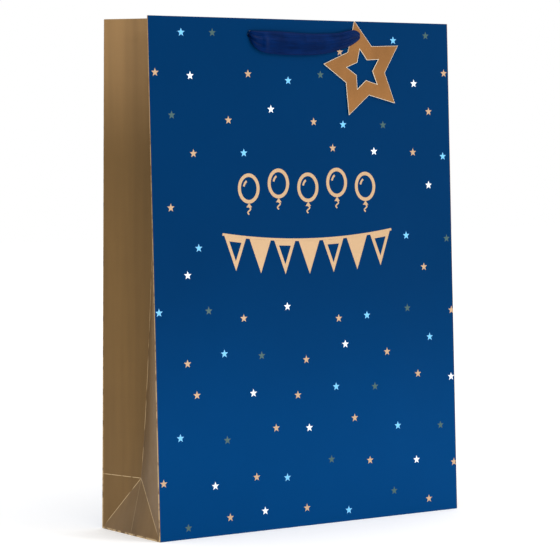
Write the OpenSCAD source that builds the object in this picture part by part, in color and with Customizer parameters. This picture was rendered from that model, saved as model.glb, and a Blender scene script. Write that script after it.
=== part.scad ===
// Paper gift bag with folded side gussets, ribbon handles and a star tag.
// The front faces -Y, the left gusset is at -X and the base stands on Z = 0.

/* [Bag] */
// Width of the front and back panels
bag_w = 330; // [250:5:400]
// Height from the base to the top edge
bag_h = 457; // [380:1:520]
// Depth of the base, which is also the width of a flattened gusset
bag_d = 100; // [80:2:140]
// Depth of the mouth, where the panels lean together
mouth_d = 74; // [60:1:78]
// Thickness of the laminated paper
paper_t = 0.3; // [0.2:0.05:0.5]

/* [Top hem] */
// Height of the paper turned in at the top edge
hem_h = 40; // [30:1:60]
// Thickness of the card strips inside the front and back hems
strip_t = 1; // [0.6:0.1:1.6]

/* [Base] */
// Thickness of the loose base board
base_board_t = 1.2; // [0.8:0.1:2]
// Width of the base board
base_board_w = 320; // [240:5:320]
// Depth of each glued base flap
flap_d = 64; // [55:1:75]

/* [Ribbon handles] */
// Distance between the two holes of a handle
hole_gap = 118; // [90:2:160]
// Distance of the holes below the top edge
hole_drop = 14; // [12:1:24]
// Diameter of a handle hole
hole_dia = 6; // [5.5:0.5:8]
// Width of the ribbon
ribbon_w = 20; // [12:1:24]
// Length of ribbon that hangs inside below each hole
tail_len = 140; // [60:10:180]

/* [Star tag] */
// Radius to the points of the tag
tag_r = 45.5; // [35:0.5:55]
// Radius to the points of the cut-out star
tag_cut_r = 19.5; // [12:0.5:22]
// Distance from the tag's centre to its hole
tag_hang = 31; // [24:1:34]
// Tilt of the tag from plumb
tag_tilt = 12; // [-20:1:20]
// Thickness of the tag's card
tag_t = 0.6; // [0.4:0.1:1]

/* [Hidden] */
$fn = 48;

blue = "#0a4a86";
gold = "#a8834f";
kraft = "#e9e4da";
board_grey = "#b9b2a6";
navy = "#14285f";
bronze = "#b98648";

half_w = bag_w / 2;
half_d = bag_d / 2;
lean = (bag_d - mouth_d) / 2 / bag_h;   // inward slope of the front and back panels
lean_angle = atan(lean);
fold_z = half_d;                        // height where the gusset creases meet
hem_z = bag_h - hem_h;
stack_t = 2 * paper_t + strip_t;        // paper, card strip and hem together
gusset_steps = 8;
gap = 0.05;                             // glue line between neighbours
hem_inset = 3;                          // the stiff hem stops short of the side folds
lap_w = 15;
lap_inset = 1.5;                        // lap's distance from the side fold
lap_low = 1;
board_gap = 2.5;                        // space round the base board, front and back
flap_gap = 1;                           // space between a flap and the gussets
tuck_taper = 20;                        // how much narrower a tuck flap is at its free edge

hole_z = bag_h - hole_drop;
hole_x = hole_gap / 2;
neck_dia = 5;                           // ribbon bunched in its hole
pivot_out = 3.2;                        // ribbon's pivot line in front of the panel
neck_out = 1.6;
band_t = 0.8;
band_rise = 1.2;                        // ribbon above its pivot line
knot_dia = 11;
tail_w = 18;
tail_gap = 0.2;

tag_inner_r = 0.52 * tag_r;
tag_cut_inner_r = 0.5 * tag_cut_r;
tag_hole_dia = 6.5;
tag_off = 0.3;                          // tag's clearance in front of the panel

// Half of the bag's depth at height z.
function half_at(z) = half_d - lean * z;

// How far the gusset's centre crease is pushed in at height z, since the paper can't shrink.
function push_at(z) = sqrt(half_d * half_d - half_at(z) * half_at(z));

// X of the left gusset's front half at depth y and height z, at a distance in from its outer face.
function gusset_x(y, z, deep) =
  -half_w + deep * half_at(z) / half_d
  + (y + half_at(z) + deep * push_at(z) / half_d) * push_at(z) / half_at(z);

// A point on the gusset's front edge, against the front panel's inner face.
function side_point(z, deep) =
  [gusset_x(paper_t - half_at(z), z, deep), paper_t - half_at(z), z];

// A point on the gusset's centre crease.
function crease_point(z, deep) = [gusset_x(0, z, deep), 0, z];

function side_edge(rows, deep) = [for (z = rows) side_point(z, deep)];

function crease_edge(rows, deep) = [for (z = rows) crease_point(z, deep)];

// The gusset's lower corner, where the base and the front fold meet.
function foot_point(deep) = [deep - half_w, paper_t - half_d, 0];

// Heights of the gusset's rows, evenly spaced from the creases' meeting point to the hem.
gusset_rows = concat(
  [for (i = [0 : gusset_steps]) fold_z + (hem_z - fold_z) * i / gusset_steps], [bag_h]
);
hem_rows = [hem_z, bag_h];

// A thin sheet between edges a and b, with outer and inner points for each row.
// With a tip, the first row is a single point.
module sheet(a_out, b_out, a_in, b_in, tip = false) {
  n = len(a_out);
  points = concat(a_out, b_out, a_in, b_in);
  first_b = tip ? 0 : n;
  first_b_in = tip ? 2 * n : 3 * n;
  function b(i) = i == 0 ? first_b : n + i;
  function b_in(i) = i == 0 ? first_b_in : 3 * n + i;
  start = tip ? 1 : 0;
  rows = [for (i = [start : n - 2]) each [
    [i, i + 1, b(i + 1)], [i, b(i + 1), b(i)],
    [2 * n + i, b_in(i + 1), 2 * n + i + 1], [2 * n + i, b_in(i), b_in(i + 1)]
  ]];
  edges = [for (i = [0 : n - 2]) each [
    [i, 2 * n + i, 2 * n + i + 1], [i, 2 * n + i + 1, i + 1],
    [b(i), b(i + 1), b_in(i + 1)], [b(i), b_in(i + 1), b_in(i)]
  ]];
  first = tip
    ? [[0, 1, b(1)], [2 * n, b_in(1), 2 * n + 1]]
    : [[0, b(0), b_in(0)], [0, b_in(0), 2 * n]];
  last = [[n - 1, 3 * n - 1, 4 * n - 1], [n - 1, 4 * n - 1, 2 * n - 1]];
  polyhedron(points, concat(rows, edges, first, last));
}

// A leaf on the gusset's front half, one paper thick, a distance in from its outer face.
module gusset_leaf(rows, deep) {
  sheet(
    side_edge(rows, deep), crease_edge(rows, deep),
    side_edge(rows, deep + paper_t), crease_edge(rows, deep + paper_t)
  );
}

// A flat leaf that leans with the front panel, between two depths behind its outer face.
module leaning_leaf(width, low, high, near, far) {
  profile = [
    [near - half_at(low), low], [near - half_at(high), high],
    [far - half_at(high), high], [far - half_at(low), low]
  ];
  across(width) polygon(profile);
}

// Extrudes a profile of Y and Z along the bag's width.
module across(width) {
  translate([-width / 2, 0, 0])
    rotate([90, 0, 90])
      linear_extrude(width) children();
}

// Places a shape on the front panel's outer face, level with the holes.
// Local Y runs up the face and local Z points out of it.
module on_front() {
  translate([0, -half_at(hole_z), hole_z])
    rotate([90 - lean_angle, 0, 0]) children();
}

module at_holes() {
  for (side = [-1, 1]) translate([side * hole_x, 0, 0]) children();
}

module handle_holes() {
  on_front() at_holes()
    cylinder(d = hole_dia, h = 6 * stack_t, center = true);
}

module to_back() { mirror([0, 1, 0]) children(); }

module to_right() { mirror([1, 0, 0]) children(); }

// Front panel, pierced for the handle.
module panel() {
  difference() {
    leaning_leaf(bag_w, 0, bag_h, 0, paper_t);
    handle_holes();
  }
}

module front_panel() { color(blue) panel(); }

module back_panel() { color(blue) to_back() panel(); }

// Front half of the left gusset, from the corner of the base up to the mouth.
module gusset_front() {
  sheet(
    concat([foot_point(0)], side_edge(gusset_rows, 0)),
    concat([foot_point(0)], crease_edge(gusset_rows, 0)),
    concat([foot_point(paper_t)], side_edge(gusset_rows, paper_t)),
    concat([foot_point(paper_t)], crease_edge(gusset_rows, paper_t)),
    tip = true
  );
}

// Rear half of the left gusset above its level crease, drawn at the front and mirrored.
module gusset_rear() {
  to_back() gusset_leaf(gusset_rows, 0);
}

// Triangle of the gusset below the level crease, beside the back panel.
module gusset_rear_foot() {
  to_back() sheet(
    [foot_point(0), side_point(fold_z, 0)],
    [foot_point(0), crease_point(fold_z, 0)],
    [foot_point(paper_t), side_point(fold_z, paper_t)],
    [foot_point(paper_t), crease_point(fold_z, paper_t)],
    tip = true
  );
}

// Triangle of the gusset that rises from the base's side edge.
module gusset_foot() {
  rear = [1, -1, 1];
  sheet(
    [crease_point(fold_z, 0), foot_point(0)],
    [crease_point(fold_z, 0), [for (i = [0 : 2]) foot_point(0)[i] * rear[i]]],
    [crease_point(fold_z, paper_t), foot_point(paper_t)],
    [crease_point(fold_z, paper_t), [for (i = [0 : 2]) foot_point(paper_t)[i] * rear[i]]],
    tip = true
  );
}

module left_gusset_front() { color(gold) gusset_front(); }

module left_gusset_rear() { color(gold) gusset_rear(); }

module left_gusset_rear_foot() { color(gold) gusset_rear_foot(); }

module left_gusset_foot() { color(gold) gusset_foot(); }

module right_gusset_front() { color(gold) to_right() gusset_front(); }

module right_gusset_rear() { color(gold) to_right() gusset_rear(); }

module right_gusset_rear_foot() { color(gold) to_right() gusset_rear_foot(); }

module right_gusset_foot() { color(gold) to_right() gusset_foot(); }

// Strip of the sheet's end, glued inside the back panel beside the right gusset.
module glue_lap() {
  color(kraft) to_back()
    translate([half_w - lap_inset - lap_w / 2, 0, 0])
      leaning_leaf(lap_w, lap_low, hem_z - gap, paper_t, 2 * paper_t);
}

// Paper folded over the card strip at the top of the front panel.
module hem() {
  near = paper_t;
  inner = paper_t + strip_t;
  fold = bag_h - paper_t;
  profile = [
    [near - half_at(bag_h), fold], [near - half_at(bag_h), bag_h],
    [stack_t - half_at(bag_h), bag_h], [stack_t - half_at(hem_z), hem_z],
    [inner - half_at(hem_z), hem_z], [inner - half_at(fold), fold]
  ];
  difference() {
    across(bag_w - 2 * hem_inset) polygon(profile);
    handle_holes();
  }
}

module front_hem() { color(blue) hem(); }

module back_hem() { color(blue) to_back() hem(); }

// Hem of the left gusset's front half.
module gusset_hem() { gusset_leaf(hem_rows, paper_t); }

module left_front_hem() { color(gold) gusset_hem(); }

module left_rear_hem() { color(gold) to_back() gusset_hem(); }

module right_front_hem() { color(gold) to_right() gusset_hem(); }

module right_rear_hem() { color(gold) to_right() to_back() gusset_hem(); }

// Card strip that stiffens the top edge where the ribbon pulls.
module hem_strip() {
  difference() {
    leaning_leaf(bag_w - 2 * hem_inset, hem_z, bag_h - paper_t, paper_t, paper_t + strip_t);
    handle_holes();
  }
}

module front_hem_strip() { color(board_grey) hem_strip(); }

module back_hem_strip() { color(board_grey) to_back() hem_strip(); }

// Long base flap: the front one lies below, the back one is glued over it.
module base_flap(level) {
  width = bag_w - 2 * (paper_t + flap_gap);
  translate([-width / 2, paper_t + gap - half_d, level * paper_t])
    cube([width, flap_d, paper_t]);
}

module front_base_flap() { color(kraft) base_flap(0); }

module back_base_flap() { color(kraft) to_back() base_flap(1); }

// Side flap of the base with cut-back corners, lying on both long flaps.
module base_tuck() {
  start = paper_t + flap_gap - half_w;
  wide = half_d - flap_gap;
  narrow = wide - tuck_taper;
  translate([0, 0, 2 * paper_t])
    linear_extrude(paper_t)
      polygon([
        [start, -wide], [start + flap_d, -narrow], [start + flap_d, narrow], [start, wide]
      ]);
}

module left_base_tuck() { color(kraft) base_tuck(); }

module right_base_tuck() { color(kraft) to_right() base_tuck(); }

module base_board() {
  depth = bag_d - 2 * board_gap;
  color(board_grey)
    translate([-base_board_w / 2, -depth / 2, 3 * paper_t + gap])
      cube([base_board_w, depth, base_board_t]);
}

// Ribbon's outline in front of the panel, about its pivot line.
module band_outline() {
  fall = band_rise - ribbon_w;
  lower = [[hole_x, -band_rise], [hole_x - 6, 0.45 * fall], [hole_x - 18, 0.9 * fall]];
  polygon(concat(
    [[hole_x, band_rise]], lower, [[0, fall]],
    [for (i = [2 : -1 : 0]) [-lower[i][0], lower[i][1]]], [[-hole_x, band_rise]]
  ));
}

// Ribbon across the front, which swings about the line through its holes.
module ribbon_band() {
  on_front()
    translate([0, 0, pivot_out - band_t / 2])
      linear_extrude(band_t) band_outline();
}

module front_ribbon() { color(navy) ribbon_band(); }

module back_ribbon() { color(navy) to_back() ribbon_band(); }

// Ribbon through the holes and hanging inside, with a knot on each end.
module ribbon_tails() {
  back = -stack_t - tail_gap;
  on_front() at_holes() {
    translate([0, 0, back - band_t])
      cylinder(d = neck_dia, h = neck_out - back + band_t);
    translate([-tail_w / 2, -tail_len, back - band_t])
      cube([tail_w, tail_len + neck_dia / 2, band_t]);
    translate([0, -tail_len, back - knot_dia / 2])
      sphere(d = knot_dia);
  }
}

module front_ribbon_tails() { color(navy) ribbon_tails(); }

module back_ribbon_tails() { color(navy) to_back() ribbon_tails(); }

// Outline of an upright five-pointed star.
module star(outer, inner) {
  polygon([for (i = [0 : 9])
    let (r = i % 2 == 0 ? outer : inner, a = 90 + 36 * i)
    [r * cos(a), r * sin(a)]]);
}

// Star tag hanging from the ribbon at the front panel's right-hand hole.
module star_tag() {
  color(bronze) on_front()
    translate([hole_x, 0, tag_off])
      rotate([0, 0, tag_tilt])
        difference() {
          linear_extrude(tag_t)
            difference() {
              translate([0, -tag_hang]) star(tag_r, tag_inner_r);
              translate([0, -tag_hang]) star(tag_cut_r, tag_cut_inner_r);
            }
          translate([0, 0, -tag_t])
            cylinder(d = tag_hole_dia, h = 3 * tag_t);
        }
}

front_panel();
back_panel();
left_gusset_front();
left_gusset_rear();
left_gusset_rear_foot();
left_gusset_foot();
right_gusset_front();
right_gusset_rear();
right_gusset_rear_foot();
right_gusset_foot();
glue_lap();
front_hem();
back_hem();
left_front_hem();
left_rear_hem();
right_front_hem();
right_rear_hem();
front_hem_strip();
back_hem_strip();
front_base_flap();
back_base_flap();
left_base_tuck();
right_base_tuck();
base_board();
front_ribbon();
back_ribbon();
front_ribbon_tails();
back_ribbon_tails();
star_tag();
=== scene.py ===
"""The finish of the paper gift bag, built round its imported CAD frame.

The printed sheet is one folded skin. The print, the ribbons, their knots and the tag are separate pieces.
Shapes are worked out in millimetres and scaled as each mesh is made. The front faces -Y, with the base
at Z = 0.
"""
import math
import random

import bmesh
import bpy
import numpy as np
from mathutils import Matrix, Vector


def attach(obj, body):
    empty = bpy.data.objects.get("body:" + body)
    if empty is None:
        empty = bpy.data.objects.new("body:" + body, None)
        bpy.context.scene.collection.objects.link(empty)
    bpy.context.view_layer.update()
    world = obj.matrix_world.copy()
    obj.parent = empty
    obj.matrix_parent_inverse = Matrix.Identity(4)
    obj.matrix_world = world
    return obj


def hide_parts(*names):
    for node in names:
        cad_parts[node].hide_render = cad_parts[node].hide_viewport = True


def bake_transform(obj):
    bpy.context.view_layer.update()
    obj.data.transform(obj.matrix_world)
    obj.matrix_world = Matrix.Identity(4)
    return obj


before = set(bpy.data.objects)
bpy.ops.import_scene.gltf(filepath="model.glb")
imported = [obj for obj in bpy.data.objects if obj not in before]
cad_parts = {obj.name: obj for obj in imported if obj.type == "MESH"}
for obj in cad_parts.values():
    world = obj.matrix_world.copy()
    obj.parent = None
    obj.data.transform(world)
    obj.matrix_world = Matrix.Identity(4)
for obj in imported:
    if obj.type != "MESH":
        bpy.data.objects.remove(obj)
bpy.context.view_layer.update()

MM = 0.001

# Sizes in millimetres. Most of them are the CAD part's too.
HALF_W = 165.0
BAG_H = 457.0
HALF_D = 50.0
MOUTH_HALF_D = 37.0
PAPER = 0.3
FOLD_Z = 50.0          # height where the gusset's creases meet
HEM_Z = 417.0          # lower edge of the turned-in paper
HOLE_X = 59.0
HOLE_Z = 443.0
HOLE_R = 3.0
TAIL = 140.0           # ribbon inside, from the hole to the knot
RIBBON_W = 20.0
RIBBON_THICK = 0.34
TAG_R = 45.5
TAG_INNER_R = 0.52 * TAG_R
CUT_R = 19.5
CUT_INNER_R = 0.5 * CUT_R
TAG_HANG = 31.0
TAG_TILT = math.radians(12)
TAG_THICK = 0.6
TAG_OFF = 0.3
TAG_HOLE_R = 3.25

LEAN = (HALF_D - MOUTH_HALF_D) / BAG_H
LEAN_ANGLE = math.atan(LEAN)


# ---------------------------------------------------------------- camera, light and floor

def add_camera():
    """A long lens, a little above half the bag's height, turned to see the front and the left gusset."""
    yaw, pitch, roll = math.radians(34.37), math.radians(3.14), math.radians(-0.404)
    ahead = Vector((math.sin(yaw) * math.cos(pitch), math.cos(yaw) * math.cos(pitch), -math.sin(pitch)))
    level = ahead.cross(Vector((0, 0, 1))).normalized()
    upright = level.cross(ahead)
    right = level * math.cos(roll) + upright * math.sin(roll)
    up = right.cross(ahead)
    turn = Matrix((right, up, -ahead)).transposed()
    data = bpy.data.cameras.new("camera")
    data.lens = 154.3
    data.sensor_width = 36
    camera = bpy.data.objects.new("camera", data)
    camera.matrix_world = Matrix.Translation((-1.2459, -1.8181, 0.3414)) @ turn.to_4x4()
    bpy.context.collection.objects.link(camera)
    bpy.context.scene.camera = camera


def add_light(name, place, aim, size, power):
    data = bpy.data.lights.new(name, "AREA")
    data.shape = "DISK"
    data.size = size
    data.energy = power
    lamp = bpy.data.objects.new(name, data)
    lamp.location = place
    lamp.rotation_euler = (Vector(aim) - Vector(place)).to_track_quat("-Z", "Y").to_euler()
    bpy.context.collection.objects.link(lamp)


def add_studio():
    world = bpy.data.worlds.new("studio")
    world.use_nodes = True
    world.node_tree.nodes["Background"].inputs["Color"].default_value = (1, 1, 1, 1)
    world.node_tree.nodes["Background"].inputs["Strength"].default_value = 1.0
    bpy.context.scene.world = world
    bpy.context.scene.view_settings.view_transform = "Standard"
    middle = (0, 0, 0.2)
    add_light("key", (0.9, -1.6, 1.5), middle, 0.5, 9)
    add_light("low_fill", (0.2, -0.9, 0.08), (0, 0, 0.05), 0.5, 3)
    floor_mesh = bpy.data.meshes.new("floor")
    reach = 6
    corners = [(-reach, -reach, 0), (reach, -reach, 0), (reach, reach, 0), (-reach, reach, 0)]
    floor_mesh.from_pydata(corners, [], [(0, 1, 2, 3)])
    floor = bpy.data.objects.new("floor", floor_mesh)
    floor.data.materials.append(Finish("floor_white", (0.9, 0.9, 0.9), 0.9, Specular_IOR_Level=0.0,
                                       Emission_Color=(1, 1, 1, 1), Emission_Strength=0.22).material)
    bpy.context.collection.objects.link(floor)


# ---------------------------------------------------------------- materials

def srgb(red, green, blue):
    """A colour given as it looks on screen, 0 to 255, as the linear values that a shader takes."""
    return tuple(c / 12.92 if c <= 0.04045 else ((c + 0.055) / 1.055) ** 2.4
                 for c in (red / 255, green / 255, blue / 255))


class Finish:
    """A node material on a Principled surface. Sockets made by its methods can be joined to each other."""

    def __init__(self, name, colour, rough, **sockets):
        self.material = bpy.data.materials.new(name)
        self.material.use_nodes = True
        self.tree = self.material.node_tree
        self.surface = self.tree.nodes["Principled BSDF"]
        self.place = self.node("ShaderNodeTexCoord").outputs["Object"]
        self.colour = (*colour, 1)
        self.set("Base Color", self.colour)
        self.set("Roughness", rough)
        for socket, value in sockets.items():
            self.set(socket.replace("_", " "), value)

    def node(self, kind, **settings):
        made = self.tree.nodes.new(kind)
        for name, value in settings.items():
            setattr(made, name, value)
        return made

    def join(self, value, socket):
        if isinstance(value, bpy.types.NodeSocket):
            self.tree.links.new(value, socket)
        else:
            socket.default_value = value

    def set(self, name, value):
        self.join(value, self.surface.inputs[name])

    def math(self, operation, first, second=0.0):
        made = self.node("ShaderNodeMath", operation=operation)
        self.join(first, made.inputs[0])
        self.join(second, made.inputs[1])
        return made.outputs[0]

    def band(self, value, low, high):
        """0 below low and 1 above high, or the other way round if low is the larger."""
        made = self.node("ShaderNodeMapRange", interpolation_type="SMOOTHSTEP")
        self.join(value, made.inputs["Value"])
        flip = low > high
        made.inputs["From Min"].default_value = min(low, high)
        made.inputs["From Max"].default_value = max(low, high)
        made.inputs["To Min"].default_value = 1 if flip else 0
        made.inputs["To Max"].default_value = 0 if flip else 1
        return made.outputs["Result"]

    def spread(self, value, low, high):
        """A noise value stretched to run from low to high."""
        made = self.node("ShaderNodeMapRange")
        self.join(value, made.inputs["Value"])
        made.inputs["From Min"].default_value = 0.25
        made.inputs["From Max"].default_value = 0.75
        made.inputs["To Min"].default_value = low
        made.inputs["To Max"].default_value = high
        return made.outputs["Result"]

    def noise(self, per_metre, detail=2.0, stretch=(1, 1, 1), place=None):
        scaled = self.node("ShaderNodeMapping")
        self.join(place or self.place, scaled.inputs["Vector"])
        scaled.inputs["Scale"].default_value = stretch
        made = self.node("ShaderNodeTexNoise")
        self.join(scaled.outputs["Vector"], made.inputs["Vector"])
        made.inputs["Scale"].default_value = per_metre
        made.inputs["Detail"].default_value = detail
        return made.outputs["Fac"]

    def axes(self, place=None):
        """X, Y and Z of a place, in metres."""
        made = self.node("ShaderNodeSeparateXYZ")
        self.join(place or self.place, made.inputs[0])
        return made.outputs

    def blend(self, mask, first, second, how="MIX"):
        made = self.node("ShaderNodeMix", data_type="RGBA", blend_type=how)
        self.join(mask, made.inputs["Factor"])
        colours = [s for s in made.inputs if s.type == "RGBA"]
        self.join(first, colours[0])
        self.join(second, colours[1])
        return [s for s in made.outputs if s.type == "RGBA"][0]

    def bump(self, height, distance, under=None):
        """Relief of a height from 0 to 1, distance millimetres deep."""
        made = self.node("ShaderNodeBump")
        made.inputs["Distance"].default_value = distance * MM
        made.inputs["Strength"].default_value = 1.0
        self.join(height, made.inputs["Height"])
        if under is not None:
            self.join(under, made.inputs["Normal"])
        self.set("Normal", made.outputs["Normal"])
        return made.outputs["Normal"]


def shaded(finish, colour, factor):
    """The colour times a factor."""
    grey = finish.node("ShaderNodeCombineXYZ")
    for axis in range(3):
        finish.join(factor, grey.inputs[axis])
    return finish.blend(1.0, colour, grey.outputs[0], "MULTIPLY")


def grained(finish, colour, change, per_metre):
    """The colour made a little darker and lighter by soft clouds and by fine grain."""
    clouds = finish.spread(finish.noise(9, 3), 1 - change, 1 + change)
    grain = finish.spread(finish.noise(per_metre, 2), 1 - change / 2, 1 + change / 2)
    return shaded(finish, colour, finish.math("MULTIPLY", clouds, grain))


def worn_and_highlit_edges(finish):
    """Mask of pale lines along the four upright folds and, faintly, the mouth: partly rubbed paper, partly a
    painted highlight standing in for the light caught by the folds' rounding.
    """
    x, _, z = finish.axes()
    side = finish.math("ABSOLUTE", x)
    folds = finish.band(side, (HALF_W - 0.55) * MM, (HALF_W - 0.15) * MM)
    mouth = finish.math("MULTIPLY", finish.band(z, (BAG_H - 0.6) * MM, (BAG_H - 0.1) * MM), 0.10)
    edges = finish.math("MAXIMUM", folds, mouth)
    rubbed = finish.band(finish.noise(160, 3), 0.36, 0.52)
    return finish.math("MULTIPLY", edges, rubbed)


def blue_print():
    """Deep royal blue print under a thin satin film, painted a little lighter towards the base and darker
    towards the mouth: painted light standing in for light thrown up from the floor.
    """
    finish = Finish("blue_paper", srgb(0, 56, 106), 0.42, Specular_IOR_Level=0.07,
                    Specular_Tint=(*srgb(50, 130, 255), 1))
    _, y, z = finish.axes()
    # Painted shade: the colour is painted darker towards the mouth, in place of the floor's bounce light on
    # the lower bag.
    high = finish.band(z, 0.04, 0.26)
    colour = grained(finish, finish.blend(high, finish.colour, (*srgb(0, 44, 85), 1)), 0.035, 2200)
    # The pale fold lines are partly rubbed paper and partly a painted highlight; the rear crease line is
    # rubbed paper.
    worn = finish.math("MULTIPLY", worn_and_highlit_edges(finish), 0.3)
    rear = finish.band(y, 0.02, 0.03)
    step = finish.math("ABSOLUTE", finish.math("SUBTRACT", z, FOLD_Z * MM))
    level = finish.band(step, 0.0006, 0.0001)
    crease = finish.math("MULTIPLY", rear, level)
    crease = finish.math("MULTIPLY", crease, finish.band(finish.noise(210, 3), 0.38, 0.55))
    worn = finish.math("MAXIMUM", worn, finish.math("MULTIPLY", crease, 0.6))
    finish.set("Base Color", finish.blend(worn, colour, (*srgb(150, 150, 145), 1)))
    finish.set("Roughness", finish.spread(finish.noise(55, 4), 0.36, 0.48))
    swell = finish.bump(finish.noise(28, 2), 0.10)
    finish.bump(finish.noise(1500, 2), 0.006, under=swell)
    return finish.material


def gusset_creases(finish):
    """Mask of the gusset's worn crease lines, broken up as rubbed foil is."""
    _, y, z = finish.axes()
    depth = finish.math("ABSOLUTE", y)
    above = finish.band(z, (FOLD_Z - 0.7) * MM, FOLD_Z * MM)
    below = finish.math("SUBTRACT", 1.0, above)
    thin = (0.00042, 0.00008)

    centre = finish.math("MULTIPLY", finish.band(depth, *thin), above)
    centre = finish.math("MULTIPLY", centre, finish.band(finish.noise(70, 3), 0.42, 0.58))
    middle = finish.math("MULTIPLY", finish.band(depth, *thin), below)
    middle = finish.math("MULTIPLY", middle, finish.spread(finish.noise(90, 2), 0.12, 0.42))

    across = finish.math("SUBTRACT", depth, finish.math("SUBTRACT", FOLD_Z * MM, z))
    away = finish.math("MULTIPLY", finish.math("ABSOLUTE", across), math.sqrt(0.5))
    slant = finish.math("MULTIPLY", finish.band(away, 0.00045, 0.00008), below)
    slant = finish.math("MULTIPLY", slant, finish.band(finish.noise(120, 3), 0.26, 0.46))
    slant = finish.math("MULTIPLY", slant, finish.band(z, 0.004, 0.012))

    step = finish.math("ABSOLUTE", finish.math("SUBTRACT", z, FOLD_Z * MM))
    rear = finish.band(y, 0.0, 0.0006)
    level = finish.math("MULTIPLY", finish.band(step, *thin), rear)
    level = finish.math("MULTIPLY", level, finish.band(finish.noise(140, 3), 0.28, 0.50))

    lines = finish.math("MAXIMUM", centre, middle)
    lines = finish.math("MAXIMUM", lines, slant)
    return finish.math("MAXIMUM", lines, level)


def gold_print():
    """Metallic gold print with a satin film and creases rubbed pale. Its colour is painted lighter near the
    mouth, a painted highlight, and darker towards the centre fold, painted shade.
    """
    finish = Finish("gold_paper", srgb(114, 86, 46), 0.46, Metallic=0.55, Specular_IOR_Level=0.3,
                    Coat_Weight=0.10, Coat_Roughness=0.3)
    _, y, z = finish.axes()
    # Painted highlight: the gold is painted lighter towards the mouth, in place of the sheen that light would
    # give the foil there.
    painted_top_light = finish.band(z, 0.32, 0.45)
    colour = grained(finish, finish.blend(painted_top_light, finish.colour, (*srgb(150, 117, 75), 1)), 0.05, 1600)
    brushed = finish.spread(finish.noise(95, 2, (1, 1, 0.04)), 0.88, 1.10)
    # Painted shade: the foil is painted darker towards the centre fold, as shade gathered in the fold.
    folded = finish.math("MULTIPLY", finish.band(finish.math("ABSOLUTE", y), 0.026, 0.004), 0.16)
    colour = shaded(finish, colour, finish.math("SUBTRACT", brushed, folded))
    # The crease lines are rubbed foil; the pale lines at the upright folds are partly rubbed and partly a
    # painted highlight.
    lines = finish.math("MAXIMUM", gusset_creases(finish), worn_and_highlit_edges(finish))
    finish.set("Base Color", finish.blend(lines, colour, (*srgb(196, 168, 124), 1)))
    finish.set("Metallic", finish.math("MULTIPLY", finish.math("SUBTRACT", 1.0, lines), 0.55))
    finish.set("Roughness", finish.spread(finish.noise(70, 4), 0.40, 0.52))
    swell = finish.bump(finish.noise(34, 2), 0.12)
    finish.bump(finish.noise(1300, 2), 0.008, under=swell)
    return finish.material


def white_paper():
    """The uncoated inside of the sheet, matte, with short fibres and faint flecks."""
    finish = Finish("inner_paper", srgb(238, 236, 229), 0.85, Specular_IOR_Level=0.2)
    colour = grained(finish, finish.colour, 0.02, 900)
    flecks = finish.band(finish.noise(700, 1), 0.70, 0.74)
    finish.set("Base Color", finish.blend(flecks, colour, (*srgb(212, 206, 192), 1)))
    fibres = finish.bump(finish.noise(900, 3, (1, 1, 0.25)), 0.02)
    finish.bump(finish.noise(40, 2), 0.10, under=fibres)
    return finish.material


def flap_paper(name, outside):
    """A base flap: printed on the side that faces down, white above."""
    finish = Finish(name, outside, 0.5, Specular_IOR_Level=0.25)
    facing = finish.node("ShaderNodeNewGeometry").outputs["True Normal"]
    down = finish.band(finish.axes(facing)[2], -0.3, -0.7)
    print_colour = grained(finish, finish.colour, 0.04, 1800)
    paper = grained(finish, (*srgb(236, 233, 225), 1), 0.02, 900)
    finish.set("Base Color", finish.blend(down, paper, print_colour))
    finish.set("Roughness", finish.spread(finish.noise(60, 3), 0.5, 0.7))
    finish.bump(finish.noise(1000, 3), 0.015)
    return finish.material


def grey_board():
    """Recycled board: warm grey, matte, with darker and lighter flecks of pulp."""
    finish = Finish("grey_board", srgb(176, 168, 155), 0.92, Specular_IOR_Level=0.15)
    colour = grained(finish, finish.colour, 0.05, 700)
    dark = finish.band(finish.noise(520, 2), 0.62, 0.70)
    light = finish.band(finish.noise(610, 2), 0.34, 0.28)
    colour = finish.blend(dark, colour, (*srgb(128, 120, 108), 1))
    colour = finish.blend(light, colour, (*srgb(205, 199, 188), 1))
    finish.set("Base Color", colour)
    felt = finish.bump(finish.noise(1200, 3, (1, 0.3, 1)), 0.05)
    finish.bump(finish.noise(60, 2), 0.15, under=felt)
    return finish.material


def satin():
    """Navy satin: long floats along the ribbon, fine picks across it and a tighter woven edge, with painted
    sheen streaked into its colour.
    """
    finish = Finish("satin_ribbon", srgb(0, 19, 54), 0.32, Specular_IOR_Level=0.20,
                    Anisotropic=0.6, Specular_Tint=(*srgb(10, 105, 255), 1))
    strip = finish.node("ShaderNodeAttribute", attribute_name="weave").outputs["Vector"]
    along, across, _ = finish.axes(strip)
    floats = finish.math("SINE", finish.math("MULTIPLY", across, 2 * math.pi / 0.00032))
    picks = finish.math("SINE", finish.math("MULTIPLY", along, 2 * math.pi / 0.00055))
    weave = finish.math("ADD", finish.math("MULTIPLY", floats, 0.35), finish.math("MULTIPLY", picks, 0.15))
    selvedge = finish.band(finish.math("ABSOLUTE", across), 0.0089, 0.0094)
    # Streaks along the ribbon and soft clouds brighten and darken the colour as painted sheen and painted
    # highlights; the streaks also set the roughness.
    streaks = finish.noise(900, 3, (0.05, 1, 1), strip)
    clouds = finish.noise(60, 2, place=strip)
    painted_sheen_tone = finish.math("ADD", finish.spread(streaks, 0.6, 1.4), finish.spread(clouds, -0.35, 0.6))
    colour = shaded(finish, finish.colour, painted_sheen_tone)
    finish.set("Base Color", finish.blend(selvedge, colour, (*srgb(3, 17, 50), 1)))
    finish.set("Roughness", finish.spread(streaks, 0.27, 0.42))
    height = finish.math("ADD", finish.math("ADD", weave, 0.5), finish.math("MULTIPLY", selvedge, 0.8))
    relief = finish.bump(height, 0.02)
    finish.bump(finish.noise(240, 3, (0.35, 1, 1), strip), 0.18, under=relief)
    return finish.material


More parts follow.
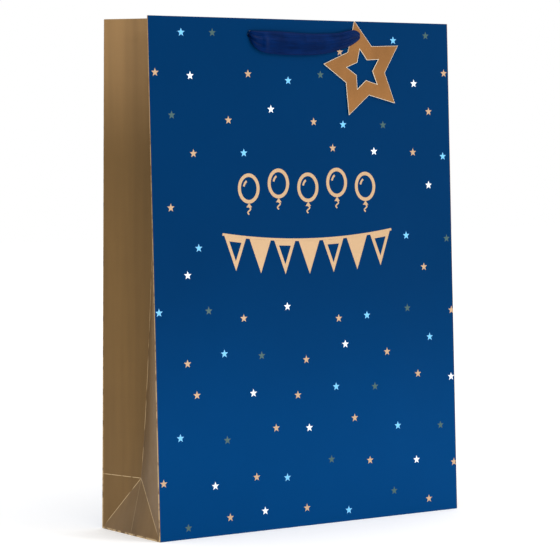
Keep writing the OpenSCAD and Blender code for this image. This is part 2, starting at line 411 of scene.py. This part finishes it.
def foil(name, colour, metallic):
    """Ink or foil of the print: even, with slight mottling and pinholes of gloss."""
    finish = Finish(name, colour, 0.4, Metallic=metallic, Specular_IOR_Level=0.3)
    finish.set("Base Color", grained(finish, finish.colour, 0.06, 1900))
    finish.set("Roughness", finish.spread(finish.noise(400, 3), 0.32, 0.48))
    finish.bump(finish.noise(1500, 2), 0.006)
    return finish.material


def bronze_card():
    """Bronze-gold mirror card, dulled by a fine brushed grain."""
    finish = Finish("tag_card", srgb(140, 96, 52), 0.38, Metallic=0.65, Specular_IOR_Level=0.3)
    cloud = finish.spread(finish.noise(32, 1), 0.88, 1.14)
    finish.set("Base Color", shaded(finish, grained(finish, finish.colour, 0.05, 1500), cloud))
    finish.set("Roughness", finish.spread(finish.noise(130, 4, (1, 1, 0.3)), 0.30, 0.46))
    swell = finish.bump(finish.noise(60, 2), 0.12)
    finish.bump(finish.noise(1700, 2), 0.006, under=swell)
    return finish.material


def card_core():
    """The cut edge and the back of the tag: white card."""
    finish = Finish("tag_core", srgb(226, 216, 196), 0.8, Specular_IOR_Level=0.2)
    finish.set("Base Color", grained(finish, finish.colour, 0.03, 1200))
    finish.bump(finish.noise(1400, 2), 0.01)
    return finish.material


# ---------------------------------------------------------------- mesh helpers

def smoothstep(value, low, high):
    share = min(1.0, max(0.0, (value - low) / (high - low)))
    return share * share * (3 - 2 * share)


def add_mesh(name, points, faces, materials, picks=None, body="bag"):
    """A smooth-shaded piece from points in millimetres. picks gives each face's material number."""
    mesh = bpy.data.meshes.new(name)
    mesh.from_pydata([tuple(c * MM for c in p) for p in points], [], faces)
    for material in materials:
        mesh.materials.append(material)
    mesh.polygons.foreach_set("use_smooth", [True] * len(faces))
    if picks is not None:
        mesh.polygons.foreach_set("material_index", picks)
    piece = bpy.data.objects.new(name, mesh)
    bpy.context.collection.objects.link(piece)
    if body:
        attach(piece, body)
    return piece


def sharpen(piece, degrees):
    """Keeps edges sharper than that angle crisp in shading."""
    piece.data.set_sharp_from_angle(angle=math.radians(degrees))


def closed_sheet(front, back, faces):
    """Points and faces of a closed solid between two copies of an open mesh: front, back, then side walls."""
    count = len(front)
    edges = {}
    for face in faces:
        for first, second in zip(face, face[1:] + face[:1]):
            edges[(first, second)] = True
    rims = [e for e in edges if (e[1], e[0]) not in edges]
    walls = [(b, a, a + count, b + count) for a, b in rims]
    behind = [tuple(i + count for i in reversed(face)) for face in faces]
    return list(front) + list(back), list(faces) + behind + walls


# ---------------------------------------------------------------- the bag's surface

def half_at(z):
    return HALF_D - LEAN * z


def push_at(z):
    return math.sqrt(HALF_D ** 2 - half_at(z) ** 2)


def panel_swell(x, z, side):
    """How far the front (side -1) or back panel stands out from flat. The folds and the stiff hem hold it."""
    hold = smoothstep(HALF_W - abs(x), 20, 95) * smoothstep(z, 8, 90) * smoothstep(HEM_Z - z, 0, 110)
    roll = 0.22 * math.sin(x / 31 + z / 47) + 0.18 * math.sin(z / 26 - x / 58 + side)
    return hold * (0.9 + roll)


def panel_point(side, x, z, out=0.0):
    """Point on the front (side -1) or back panel. X runs to the right as that panel is faced."""
    return (-side * x, side * (half_at(z) + panel_swell(x, z, side) + out), z)


def gusset_swell(s, z, side):
    """How far the gusset's paper bows out between its folds, with one soft dent near the mouth."""
    half_bow = math.sin(math.pi * abs(s) / HALF_D) * smoothstep(z, 55, 140) * smoothstep(BAG_H - z, 0, 40)
    roll = 0.35 * math.sin(z / 37 + side) + 0.2 * math.sin(z / 17 + s / 9)
    dent = 2.8 * math.exp(-((s - 14) / 9) ** 2 - ((z - 444) / 5) ** 2)
    rise = 0.7 * math.exp(-((s - 20) / 16) ** 2 - ((z - 428) / 10) ** 2)
    return half_bow * (1.0 + roll) - dent + rise


def gusset_point(side, s, z, deep=0.0):
    """Point on the gusset. s runs from the front fold, -50, to the back fold, 50, across the flat sheet."""
    shrink = 1 - deep / half_at(z)
    reach = shrink * min(HALF_D, math.sqrt(s * s + 0.2))
    if z >= FOLD_Z:
        inset = push_at(z) * (1 - reach / HALF_D)
        y = half_at(z) * s / HALF_D
    else:
        foot = FOLD_Z - z
        inset = push_at(FOLD_Z) * z / FOLD_Z
        y = s
        if abs(s) > foot:
            share = (abs(s) - foot) / (HALF_D - foot)
            inset *= 1 - share
            y = math.copysign(foot + (half_at(z) - foot) * share, s)
    x = HALF_W - inset - deep * HALF_D / half_at(z) + gusset_swell(s, z, side)
    return (side * x, y * shrink, z)


ROUND = 0.7            # from a fold's corner to where its rounding starts
ROUND_STEPS = (0.25, 0.5, 0.75)
CARD_X = 162.5         # the turned-in paper goes round the card strip up to here


def skin_columns():
    """Columns of the sheet round the bag, anticlockwise from above, as (part, side, place)."""
    cells = np.concatenate([
        [-HALF_W + ROUND], np.linspace(-CARD_X, -HOLE_X - 5, 20), [-HOLE_X],
        np.linspace(-HOLE_X + 5, HOLE_X - 5, 23), [HOLE_X],
        np.linspace(HOLE_X + 5, CARD_X, 20), [HALF_W - ROUND]])
    strips = [-HALF_D + ROUND]
    strips += [2.5 * i for i in range(-19, 0)] + [-1.2, -0.5, 0.0, 0.5, 1.2]
    strips += [2.5 * i for i in range(1, 20)] + [HALF_D - ROUND]
    columns = []
    for side, gusset in ((-1, 1), (1, -1)):
        columns += [("panel", side, float(x)) for x in cells]
        columns += [("fold", side, (gusset, t)) for t in ROUND_STEPS]
        columns += [("gusset", gusset, gusset * s) for s in strips]
        columns += [("fold", -side, (gusset, 1 - t)) for t in ROUND_STEPS]
    return columns


def skin_rows():
    """Rows of the sheet from the base to the mouth and down inside, as (z, turn, tuck).

    turn is the angle round the mouth's fold, and tuck is how far the paper is rolled in at the base.
    """
    heights = [2.5 * i for i in range(1, 21)] + [5.0 * i for i in range(11, 86)]
    heights += [430.0, 434.0, 438.0, 443.0, 448.0, 452.0]
    rows = [(0.0, 0, 0.6), (0.1, 0, 0.25), (0.5, 0, 0.0)]
    rows += [(z, 0, 0.0) for z in heights]
    rows += [(BAG_H, turn, 0.0) for turn in range(0, 181, 30)]
    inside = [z for z in reversed(heights) if z >= 420] + [HEM_Z]
    return rows + [(z, 180, 0.0) for z in inside]


def mouth_radius(x):
    """Radius of the fold at the mouth: wide over the card strip, tight at the side folds and gussets."""
    return 0.8 - 0.45 * smoothstep(abs(x), CARD_X, HALF_W - ROUND)


def turned_in(x, z, deep):
    """Place across the panel of paper that lies deep inside, drawn in near a side fold to meet the gusset."""
    drawn = deep * (push_at(z) + HALF_D) / half_at(z)
    return x - math.copysign(drawn * smoothstep(abs(x), CARD_X, HALF_W - ROUND), x)


def skin_point(column, row):
    part, side, place = column
    z, turn, tuck = row
    radius = mouth_radius(place) if part == "panel" else mouth_radius(HALF_W)
    angle = math.radians(turn)
    deep = tuck + radius * (1 - math.cos(angle))
    if z == BAG_H:
        z = BAG_H - radius * (1 - math.sin(angle))
    if part == "panel":
        return panel_point(side, turned_in(place, z, deep), z, -deep)
    if part == "gusset":
        return gusset_point(side, place, z, deep)
    gusset, share = place
    start = panel_point(side, turned_in(-side * gusset * (HALF_W - ROUND), z, deep), z, -deep)
    end = gusset_point(gusset, side * (HALF_D - ROUND), z, deep)
    corner = (gusset_point(gusset, side * HALF_D, z, deep)[0], start[1], z)
    weights = ((1 - share) ** 2, 2 * share * (1 - share), share ** 2)
    return tuple(sum(w * p[i] for w, p in zip(weights, (start, corner, end))) for i in range(3))


def is_hole_cell(left, right, low, high):
    """True for the four cells round each handle hole, which the ring of faces fills instead."""
    if left[0] != "panel" or right[0] != "panel" or low[0] == BAG_H or high[0] == BAG_H:
        return False
    middle_x = abs(left[2] + right[2]) / 2
    middle_z = (low[0] + high[0]) / 2
    return abs(middle_x - HOLE_X) < 5 and abs(middle_z - HOLE_Z) < 5


def crease_of(column, row):
    """Names of the gusset creases that a grid point is on."""
    part, _, place = column
    z, turn, tuck = row
    if part != "gusset" or turn or tuck:
        return set()
    found = set()
    if place == 0 and z >= FOLD_Z:
        found.add("centre")
    if abs(abs(place) - (FOLD_Z - z)) < 0.01:
        found.add("slant_front" if place <= 0 else "slant_rear")
        if place == 0:
            found.add("slant_rear")
    if z == FOLD_Z and place >= 0:
        found.add("level")
    return found


def is_blue(column):
    """The blue print covers the panels and just reaches round the two rear folds."""
    part, side, _ = column
    return part == "panel" or (part == "fold" and side == 1)


def build_skin(blue, gold, white):
    """The whole printed sheet: panels, gussets and the turned-in mouth, folded as one piece of paper."""
    columns, rows = skin_columns(), skin_rows()
    wide = len(columns)
    points = [skin_point(column, row) for row in rows for column in columns]
    faces, picks = [], []
    for r in range(len(rows) - 1):
        for c in range(wide):
            n = (c + 1) % wide
            left, right = columns[c], columns[n]
            if is_hole_cell(left, right, rows[r], rows[r + 1]):
                continue
            a, b, d, e = r * wide + c, r * wide + n, (r + 1) * wide + n, (r + 1) * wide + c
            pick = 0 if is_blue(left) and is_blue(right) else 1
            if crease_of(left, rows[r]) & crease_of(right, rows[r + 1]) - {"level", "centre"}:
                quads = [(a, b, d), (a, d, e)]
            elif crease_of(right, rows[r]) & crease_of(left, rows[r + 1]) - {"level", "centre"}:
                quads = [(a, b, e), (b, d, e)]
            else:
                quads = [(a, b, d, e)]
            faces += quads
            picks += [pick] * len(quads)
    for side in (-1, 1):
        for middle in (-HOLE_X, HOLE_X):
            for turn in (0, 180):
                ring_hole(points, faces, picks, columns, rows, side, middle, turn)
    skin = add_mesh("bag_skin", points, faces, [blue, gold, white, white], picks)
    mark_creases(skin, columns, rows)
    thicken = skin.modifiers.new("paper", "SOLIDIFY")
    thicken.thickness = PAPER * MM
    thicken.offset = -1
    thicken.material_offset = 2
    thicken.material_offset_rim = 2
    weigh = skin.modifiers.new("even_shading", "WEIGHTED_NORMAL")
    weigh.keep_sharp = True
    gussets = [f"{side}_gusset_{part}" for side in ("left", "right")
               for part in ("front", "rear", "rear_foot", "foot")]
    hems = [f"{side}_{part}_hem" for side in ("left", "right") for part in ("front", "rear")]
    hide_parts("front_panel", "back_panel", "front_hem", "back_hem", *gussets, *hems)


def ring_hole(points, faces, picks, columns, rows, side, middle, turn):
    """Fills the gap of four cells round one handle hole with faces that run to a round edge."""
    wide = len(columns)
    line = [i for i, c in enumerate(columns)
            if c[0] == "panel" and c[1] == side and abs(c[2] - middle) <= 5.01]
    level = [i for i, r in enumerate(rows) if r[1] == turn and abs(r[0] - HOLE_Z) <= 5.01]
    around = [(0, 0), (1, 0), (2, 0), (2, 1), (2, 2), (1, 2), (0, 2), (0, 1)]
    outer = [level[j] * wide + line[i] for i, j in around]
    deep = 0.0 if turn == 0 else 2 * mouth_radius(middle)
    first = len(points)
    each = 4
    count = each * len(outer)
    flip = 1 if turn == 0 else -1
    for i in range(count):
        angle = flip * (math.radians(225) + 2 * math.pi * i / count)
        x, z = middle + HOLE_R * math.cos(angle), HOLE_Z + HOLE_R * math.sin(angle)
        points.append(panel_point(side, x, z, -deep))
    for i, start in enumerate(outer):
        end = outer[(i + 1) % len(outer)]
        arc = [first + (each * i + k) % count for k in range(each, -1, -1)]
        faces.append((start, end, *arc))
        picks.append(0)


def mark_creases(skin, columns, rows):
    """Makes the gusset's creases sharp in shading."""
    wide = len(columns)
    sharp = []
    for edge in skin.data.edges:
        a, b = edge.vertices
        if max(a, b) >= wide * len(rows):
            sharp.append(False)
            continue
        first = crease_of(columns[a % wide], rows[a // wide])
        second = crease_of(columns[b % wide], rows[b // wide])
        sharp.append(bool(first & second))
    attribute = skin.data.attributes.new("sharp_edge", "BOOLEAN", "EDGE")
    attribute.data.foreach_set("value", sharp)


# ---------------------------------------------------------------- the print

# Stars stand in staggered rows, and each strays a little from its place. The colours follow in turn.
STAR_COLOURS = ("gold", "sky", "teal", "gold", "white")
STAR_PITCH = 46        # from star to star along a row
STAR_ROW = 35          # from row to row
STAR_STRAY = 9         # the furthest that a star strays, along and across
STAR_TOP = 450         # the highest middle of a star
STAR_SEED = 7
FIELD_HALF_W = 101     # the field kept free for the ornaments, either side of the middle
FIELD_LOW, FIELD_HIGH = 210, 333
STAR_R = 3.9
STAR_INNER_R = 0.42 * STAR_R
PRINT_UP = 0.05        # the print stands this far above the paper


class Print:
    """Flat shapes gathered in one colour, laid on a panel as a thin film with closed edges."""

    def __init__(self):
        self.points, self.faces = [], []

    def rings(self, outlines, centre=None):
        """A shape between outlines of equal count, given from the outside in and anticlockwise.

        With a centre, the inmost outline is filled.
        """
        first, count = len(self.points), len(outlines[0])
        for outline in outlines:
            self.points += outline
        for k in range(len(outlines) - 1):
            start = first + k * count
            for i in range(count):
                n = (i + 1) % count
                self.faces.append((start + i, start + n, start + count + n, start + count + i))
        if centre:
            last = len(self.points) - count
            self.points.append(centre)
            self.faces += [(last + i, last + (i + 1) % count, last + count) for i in range(count)]

    def line(self, path, width):
        """A line of that width along a path."""
        first = len(self.points)
        for i, (x, z) in enumerate(path):
            before, after = path[max(0, i - 1)], path[min(len(path) - 1, i + 1)]
            run = Vector((after[0] - before[0], after[1] - before[1])).normalized() * width / 2
            self.points += [(x + run.y, z - run.x), (x - run.y, z + run.x)]
        for i in range(len(path) - 1):
            a = first + 2 * i
            self.faces.append((a, a + 2, a + 3, a + 1))

    def lay(self, name, side, material):
        """Makes the gathered shapes one piece on the front (side -1) or back panel."""
        limit = HALF_W - ROUND
        flat = [(min(limit, max(-limit, x)), max(0.6, z)) for x, z in self.points]
        top = [panel_point(side, x, z, PRINT_UP) for x, z in flat]
        bottom = [panel_point(side, x, z, -PRINT_UP) for x, z in flat]
        points, faces = closed_sheet(top, bottom, self.faces)
        sharpen(add_mesh(name, points, faces, [material]), 50)


def circle(x, z, rx, rz, count):
    turns = [2 * math.pi * i / count for i in range(count)]
    return [(x + rx * math.cos(t), z + rz * math.sin(t)) for t in turns]


def star_outline(x, z, outer, inner):
    """Ten corners of an upright five-pointed star, anticlockwise from its top."""
    corners = []
    for i in range(10):
        reach = inner if i % 2 else outer
        angle = math.radians(90 + 36 * i)
        corners.append((x + reach * math.cos(angle), z + reach * math.sin(angle)))
    return corners


def star_fits(x, z):
    """Whether a star there is on the panel and clear of ornaments, handle holes and the tag's cut-out."""
    in_field = abs(x) < FIELD_HALF_W and FIELD_LOW < z < FIELD_HIGH
    at_hole = math.hypot(abs(x) - HOLE_X, z - HOLE_Z) < HOLE_R + 2 * STAR_R
    tag_x, tag_z = HOLE_X + TAG_HANG * math.sin(TAG_TILT), HOLE_Z - TAG_HANG * math.cos(TAG_TILT)
    in_cut = math.hypot(x - tag_x, z - tag_z) < CUT_R + STAR_R
    return abs(x) < HALF_W and 0 < z < STAR_TOP and not (in_field or at_hole or in_cut)


def scatter_stars():
    """The middles of the stars by colour, the same on each run because the draw has a fixed seed."""
    draw = random.Random(STAR_SEED)
    middles = {colour: [] for colour in STAR_COLOURS}
    reach = math.ceil(HALF_W / STAR_PITCH)
    for row in range(math.ceil(BAG_H / STAR_ROW)):
        for column in range(-reach, reach + 1):
            x = STAR_PITCH * (column + row % 2 / 2) + draw.uniform(-STAR_STRAY, STAR_STRAY)
            z = STAR_ROW * (row + 0.5) + draw.uniform(-STAR_STRAY, STAR_STRAY)
            if star_fits(x, z):
                colour = STAR_COLOURS[(column + 2 * row) % len(STAR_COLOURS)]
                middles[colour].append((x, z))
    return middles


def split_sides(corners, parts):
    """An outline with each side cut in parts, so that its shape can follow the panel's swell."""
    ends = corners[1:] + corners[:1]
    return [(ax + (bx - ax) * i / parts, az + (bz - az) * i / parts)
            for (ax, az), (bx, bz) in zip(corners, ends) for i in range(parts)]


def balloon(ink, x, z):
    """A balloon in outline with its knot and string, 37 mm tall, given by its middle."""
    half_w, half_h, line, steps = 11.6, 13.4, 3.2, 48
    skin = circle(x, z, half_w, half_h, steps)
    hollow = circle(x, z, half_w - line, half_h - line, steps)
    ink.rings([skin, hollow])
    bend = np.linspace(math.radians(112), math.radians(165), 9)
    ink.line([(x + 5.4 * math.cos(a), z + 7.0 * math.sin(a)) for a in bend], 1.9)
    ink.rings([[(x, z - 13.0), (x - 3.0, z - 16.8), (x + 3.0, z - 16.8)]], centre=(x, z - 14.8))
    run = np.linspace(0, 2 * math.pi, 25)
    ink.line([(x + 1.5 * math.sin(t), z - 16.5 - 1.05 * t) for t in run], 1.3)


def garland(ink, reach, top, drop, count):
    """Pennants, filled and open by turns, on a cord that sags between two ends."""
    def cord(x):
        return top - drop * (1 - (x / reach) ** 2)
    pitch = 2 * reach / count
    ink.line([(x, cord(x)) for x in np.linspace(-reach, reach, 61)], 2.2)
    for i in range(count):
        middle = -reach + pitch * (i + 0.5)
        left, right = middle - 0.43 * pitch, middle + 0.43 * pitch
        corners = [(left, cord(left) - 1), (middle, cord(middle) - 31), (right, cord(right) - 1)]
        centre = (middle, cord(middle) - 11)
        filled = i % 2 == 1
        scales = (1, 0.75, 0.5, 0.25) if filled else (1, 0.78, 0.56)
        rings = [split_sides([(centre[0] + k * (px - centre[0]), centre[1] + k * (pz - centre[1]))
                              for px, pz in corners], 6) for k in scales]
        ink.rings(rings, centre=centre if filled else None)


def build_print(inks):
    """Scattered stars and, in place of the greeting, plain party shapes in gold, alike on both panels."""
    for side, panel in ((-1, "front"), (1, "back")):
        for colour, middles in scatter_stars().items():
            ink = Print()
            for x, z in middles:
                ink.rings([star_outline(x, z, STAR_R, STAR_INNER_R)], centre=(x, z))
            ink.lay(f"{panel}_stars_{colour}", side, inks[colour])
        ornament = Print()
        for i in range(5):
            balloon(ornament, 32 * (i - 2), 306 + (4 if i % 2 else 0))
        garland(ornament, reach=93, top=266, drop=7, count=7)
        ornament.lay(f"{panel}_ornament", side, inks["foil"])


# ---------------------------------------------------------------- ribbons

def face_frame():
    """From the front face's own frame at the holes (X right, Y up the face, Z out) to the bag's, in mm."""
    out = Vector((0, -math.cos(LEAN_ANGLE), math.sin(LEAN_ANGLE)))
    up = Vector((0, math.sin(LEAN_ANGLE), math.cos(LEAN_ANGLE)))
    turn = Matrix((Vector((1, 0, 0)), up, out)).transposed().to_4x4()
    return Matrix.Translation((0, -half_at(HOLE_Z), HOLE_Z)) @ turn


ON_FRONT = face_frame()
HALF_TURN = Matrix.Rotation(math.pi, 4, "Z")


def spline(knots, count):
    """Points on a smooth curve through knots, which may have any number of coordinates."""
    knots = np.array(knots, float)
    padded = np.vstack([2 * knots[0] - knots[1], knots, 2 * knots[-1] - knots[-2]])
    places = np.linspace(0, len(knots) - 1, count)
    result = []
    for place in places:
        i = min(int(place), len(knots) - 2)
        t = place - i
        a, b, c, d = padded[i:i + 4]
        result.append(0.5 * (2 * b + (c - a) * t + (2 * a - 5 * b + 4 * c - d) * t ** 2
                             + (3 * b - a - 3 * c + d) * t ** 3))
    return np.array(result)


def woven_strip(name, grid, material, place, body=None):
    """A closed ribbon from a grid of points, rows along it and columns across, with its weave coordinates."""
    rows, columns = grid.shape[:2]
    run = np.gradient(grid, axis=0)
    cross = np.gradient(grid, axis=1)
    normal = np.cross(cross, run)
    normal /= np.maximum(np.linalg.norm(normal, axis=2, keepdims=True), 1e-9)
    front = (grid + normal * RIBBON_THICK / 2).reshape(-1, 3)
    back = (grid - normal * RIBBON_THICK / 2).reshape(-1, 3)
    faces = [(r * columns + c, r * columns + c + 1, (r + 1) * columns + c + 1, (r + 1) * columns + c)
             for r in range(rows - 1) for c in range(columns - 1)]
    points, faces = closed_sheet(front, back, faces)
    points = [place @ Vector(p) for p in points]
    piece = add_mesh(name, points, faces, [material], body=body)
    middle = grid[:, columns // 2]
    along = np.concatenate([[0], np.cumsum(np.linalg.norm(np.diff(middle, axis=0), axis=1))])
    across = np.linspace(-RIBBON_W / 2, RIBBON_W / 2, columns)
    weave = np.zeros((rows, columns, 3))
    weave[..., 0] = along[:, None]
    weave[..., 1] = across[None, :]
    weave = np.concatenate([weave.reshape(-1, 3)] * 2) * MM
    attribute = piece.data.attributes.new("weave", "FLOAT_VECTOR", "POINT")
    attribute.data.foreach_set("vector", weave.ravel())
    sharpen(piece, 50)
    return piece, float(along[-1])


# Lines across the handle ribbon from its left hole to its right one, in the front face's frame:
# x and y of the upper edge, x and y of the lower edge, height above the face and depth of the gathers.
BAND_LINES = [
    (-59.0, 1.0, -59.0, -1.4, -1.4, 0.3),
    (-60.3, 1.8, -59.9, -3.6, 1.3, 0.9),
    (-58.6, 2.5, -58.2, -8.0, 2.6, 0.9),
    (-55.0, 2.6, -55.0, -11.8, 3.0, 0.7),
    (-50.0, 2.6, -50.0, -14.9, 3.0, 0.4),
    (-42.0, 2.7, -42.0, -16.9, 3.0, 0.2),
    (-28.0, 2.6, -28.0, -17.9, 3.0, 0.1),
    (-8.0, 1.7, -8.0, -18.2, 3.1, 0.1),
    (8.0, 1.3, 8.0, -17.7, 3.1, 0.1),
    (22.0, 1.8, 22.0, -16.2, 3.0, 0.1),
    (36.0, 2.6, 36.0, -13.2, 3.0, 0.2),
    (47.0, 4.8, 47.0, -9.8, 3.0, 0.4),
    (54.5, 5.6, 55.0, -6.2, 2.8, 0.5),
    (60.3, 3.6, 60.0, -3.0, 2.3, 0.5),
    (61.2, 1.6, 61.2, -1.4, 1.5, 0.3),
    (59.0, 1.0, 59.0, -1.2, -1.4, 0.2),
]


def band_grid():
    """Grid of the ribbon across the front, in the front face's frame."""
    lines = spline(BAND_LINES, 181)
    shares = np.linspace(0, 1, 25)
    grid = np.zeros((len(lines), len(shares), 3))
    for i, (ux, uy, lx, ly, height, gather) in enumerate(lines):
        x = ux + (lx - ux) * shares
        y = uy + (ly - uy) * shares
        wide = abs(uy - ly)
        crown = 0.055 * wide * (1 - (2 * shares - 1) ** 2)
        folds = gather * np.sin(2 * math.pi * (2.6 * shares + 0.1)) * np.sin(math.pi * shares) ** 0.5
        ridge = 0.75 * np.exp(-((x + 44.5) / 2.6) ** 2) * np.sin(math.pi * shares)
        grid[i] = np.stack([x, y, height - 0.4 + crown + folds + ridge], axis=1)
    return grid


def tail_grid(sway, twist):
    """Grid of the ribbon that hangs inside below a hole, in the front face's frame at that hole."""
    length = TAIL - 4      # the last of it is inside the knot
    places = np.linspace(0, 1, 71)
    shares = np.linspace(-0.5, 0.5, 21)
    grid = np.zeros((len(places), len(shares), 3))
    for i, t in enumerate(places):
        opened = smoothstep(t, 0.0, 0.16) * (1 - 0.75 * smoothstep(t, 0.86, 1.0))
        wide = 4.2 + 15.2 * opened
        turn = twist * math.sin(2.6 * t + 0.4) * smoothstep(t, 0.05, 0.3)
        x = sway * math.sin(3.3 * t) + wide * shares * math.cos(turn)
        z = -3.4 - 2.4 * smoothstep(t, 0, 0.5) + wide * shares * math.sin(turn)
        z = z + (1 - smoothstep(t, 0.0, 0.03)) * 2.6
        gather = 0.8 * (1.12 - opened)
        z = z + gather * np.sin(2 * math.pi * 2.3 * shares) + 0.5 * np.cos(math.pi * shares) * opened
        y = np.full_like(shares, -t * length)
        grid[i] = np.stack([x, y, z], axis=1)
    return grid


def end_grid():
    """Grid of the short ribbon end below a knot, cut on the slant, with the knot at the frame's origin."""
    places = np.linspace(0, 1, 19)
    shares = np.linspace(-0.5, 0.5, 21)
    grid = np.zeros((len(places), len(shares), 3))
    for i, t in enumerate(places):
        opened = smoothstep(t, 0.0, 0.8)
        wide = 5.0 + 13.0 * opened
        x = wide * shares
        y = -2.5 - t * (13 + 5 * shares)
        z = 0.9 * (1.1 - opened) * np.sin(2 * math.pi * 2.0 * shares) + 0.5 * math.sin(3 * t)
        grid[i] = np.stack([x, y, z], axis=1)
    return grid


def knot_mesh(name, place, material):
    """An overhand knot pulled tight: a flattened ribbon bundle along a trefoil."""
    steps, sides = 96, 12
    points, path = [], []
    for i in range(steps):
        t = 2 * math.pi * i / steps
        path.append(Vector((1.25 * (math.sin(t) + 2 * math.sin(2 * t)),
                            1.15 * (math.cos(t) - 2 * math.cos(2 * t)),
                            -1.7 * math.sin(3 * t))))
    for i, centre in enumerate(path):
        run = (path[(i + 1) % steps] - path[i - 1]).normalized()
        side = run.cross(centre.normalized()).normalized()
        rise = side.cross(run)
        for k in range(sides):
            angle = 2 * math.pi * k / sides
            crinkle = 1 + 0.08 * math.sin(5 * angle + 0.7 * i)
            points.append(place @ (centre + side * 2.3 * crinkle * math.cos(angle)
                                   + rise * 1.35 * crinkle * math.sin(angle)))
    faces = [(i * sides + k, i * sides + (k + 1) % sides,
              ((i + 1) % steps) * sides + (k + 1) % sides, ((i + 1) % steps) * sides + k)
             for i in range(steps) for k in range(sides)]
    knot = add_mesh(name, points, faces, [material])
    weave = np.zeros((len(points), 3))
    weave[:, 0] = np.repeat(np.arange(steps), sides) * 0.45 * MM
    weave[:, 1] = np.tile(np.arange(sides), steps) * 1.0 * MM - 0.006
    attribute = knot.data.attributes.new("weave", "FLOAT_VECTOR", "POINT")
    attribute.data.foreach_set("vector", weave.ravel())
    return knot


def build_ribbon(panel, place, material):
    """One handle: two halves of the band across the face, and two knotted tails inside."""
    grid = band_grid()
    split = int(np.argmin(np.abs(grid[:, 12, 0])))
    halves = (("left", grid[:split + 1], (-58, -42)), ("right", grid[split:], (44, 28)))
    for name, part, bend in halves:
        band, length = woven_strip(f"{panel}_ribbon_{name}", part, material, place)
        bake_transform(band)
        if name == "left":
            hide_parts(f"{panel}_ribbon")
    for side, sway, twist in ((-1, 2.5, 0.16), (1, -2.0, -0.2)):
        name = "left" if side < 0 else "right"
        here = place @ Matrix.Translation((side * HOLE_X, 0, 0))
        tail, length = woven_strip(f"{panel}_tail_{name}", tail_grid(sway, twist), material, here, "bag")
        end_x = sway * math.sin(3.3)
        at_knot = here @ Matrix.Translation((end_x, -TAIL, -5.8))
        knot = knot_mesh(f"{panel}_knot_{name}", at_knot, material)
        tip, tip_length = woven_strip(f"{panel}_tail_end_{name}", end_grid(), material, at_knot, "bag")
        if side < 0:
            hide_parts(f"{panel}_ribbon_tails")


# ---------------------------------------------------------------- the tag

def build_tag(front, core):
    """Star of metallic card with a star cut from it, slightly sprung, hung by the hole in its top point.

    The card's white core shows on its cut edges and in a thin rim along them.
    """
    around = 6
    shares = [0, 0.02, 0.2, 0.35, 0.5, 0.65, 0.8, 0.975, 1]
    steps = len(shares) - 1
    outer = star_outline(0, -TAG_HANG, TAG_R, TAG_INNER_R)
    inner = star_outline(0, -TAG_HANG, CUT_R, CUT_INNER_R)
    rings = []
    for share in shares:
        ring = []
        for i in range(10):
            for j in range(around):
                t = j / around
                edge = [Vector(a[i]).lerp(Vector(a[(i + 1) % 10]), t) for a in (outer, inner)]
                ring.append(edge[0].lerp(edge[1], share))
        rings.append(ring)
    count = 10 * around
    place = ON_FRONT @ Matrix.Translation((HOLE_X, 0, TAG_OFF)) @ Matrix.Rotation(TAG_TILT, 4, "Z")

    def lift(p, up):
        far = p.length / (TAG_HANG + TAG_R)
        return place @ Vector((p.x, p.y, up + 1.5 * far * far + 0.25 * math.sin(p.x / 12) * far))

    flat = [p for ring in rings for p in ring]
    faces = []
    for k in range(steps):
        for i in range(count):
            n = (i + 1) % count
            faces.append((k * count + i, k * count + n, (k + 1) * count + n, (k + 1) * count + i))
    top = [lift(p, TAG_THICK) for p in flat]
    bottom = [lift(p, 0) for p in flat]
    points, faces = closed_sheet(top, bottom, faces)
    printed = [1] * count + [0] * count * (steps - 2) + [1] * count
    picks = printed + [1] * (len(faces) - len(printed))
    tag = add_mesh("star_tag_card", points, faces, [front, core], picks, body="tag")
    pierce(tag, place)
    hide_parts("star_tag")
    sharpen(tag, 35)


def pierce(tag, place):
    """Cuts the tag's round hole."""
    cutter_mesh = bpy.data.meshes.new("cutter")
    shape = bmesh.new()
    bmesh.ops.create_cone(shape, cap_ends=True, segments=40, radius1=TAG_HOLE_R * MM,
                          radius2=TAG_HOLE_R * MM, depth=6 * MM)
    shape.to_mesh(cutter_mesh)
    shape.free()
    cutter = bpy.data.objects.new("cutter", cutter_mesh)
    bpy.context.collection.objects.link(cutter)
    shift = place.copy()
    shift.translation = place.translation * MM
    cutter.matrix_world = shift
    cutter.data.materials.append(tag.data.materials[1])
    cut = tag.modifiers.new("hole", "BOOLEAN")
    cut.object = cutter
    cut.solver = "EXACT"
    bpy.context.view_layer.update()
    made = bpy.data.meshes.new_from_object(tag.evaluated_get(bpy.context.evaluated_depsgraph_get()))
    tag.modifiers.remove(cut)
    tag.data = made
    bpy.data.objects.remove(cutter)


# ---------------------------------------------------------------- CAD nodes that stay

def dress(material, *names):
    """Gives CAD nodes a finish, leaving their shape and place alone."""
    for name in names:
        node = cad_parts[name]
        node.data.materials.clear()
        node.data.materials.append(material)


# ---------------------------------------------------------------- build

add_camera()
add_studio()

blue, gold, white = blue_print(), gold_print(), white_paper()
board, ribbon = grey_board(), satin()
inks = {
    "gold": foil("ink_gold", srgb(186, 152, 118), 0.1),
    "white": foil("ink_white", srgb(234, 240, 246), 0.0),
    "sky": foil("ink_sky", srgb(108, 186, 232), 0.0),
    "teal": foil("ink_teal", srgb(54, 84, 84), 0.0),
    "foil": foil("ink_foil", srgb(186, 153, 116), 0.2),
}

build_skin(blue, gold, white)
build_print(inks)
build_ribbon("front", ON_FRONT, ribbon)
build_ribbon("back", HALF_TURN @ ON_FRONT, ribbon)
build_tag(bronze_card(), card_core())
dress(white, "glue_lap")
dress(board, "front_hem_strip", "back_hem_strip", "base_board")
dress(flap_paper("blue_flap", srgb(0, 56, 106)), "front_base_flap", "back_base_flap")
dress(flap_paper("gold_flap", srgb(114, 86, 46)), "left_base_tuck", "right_base_tuck")
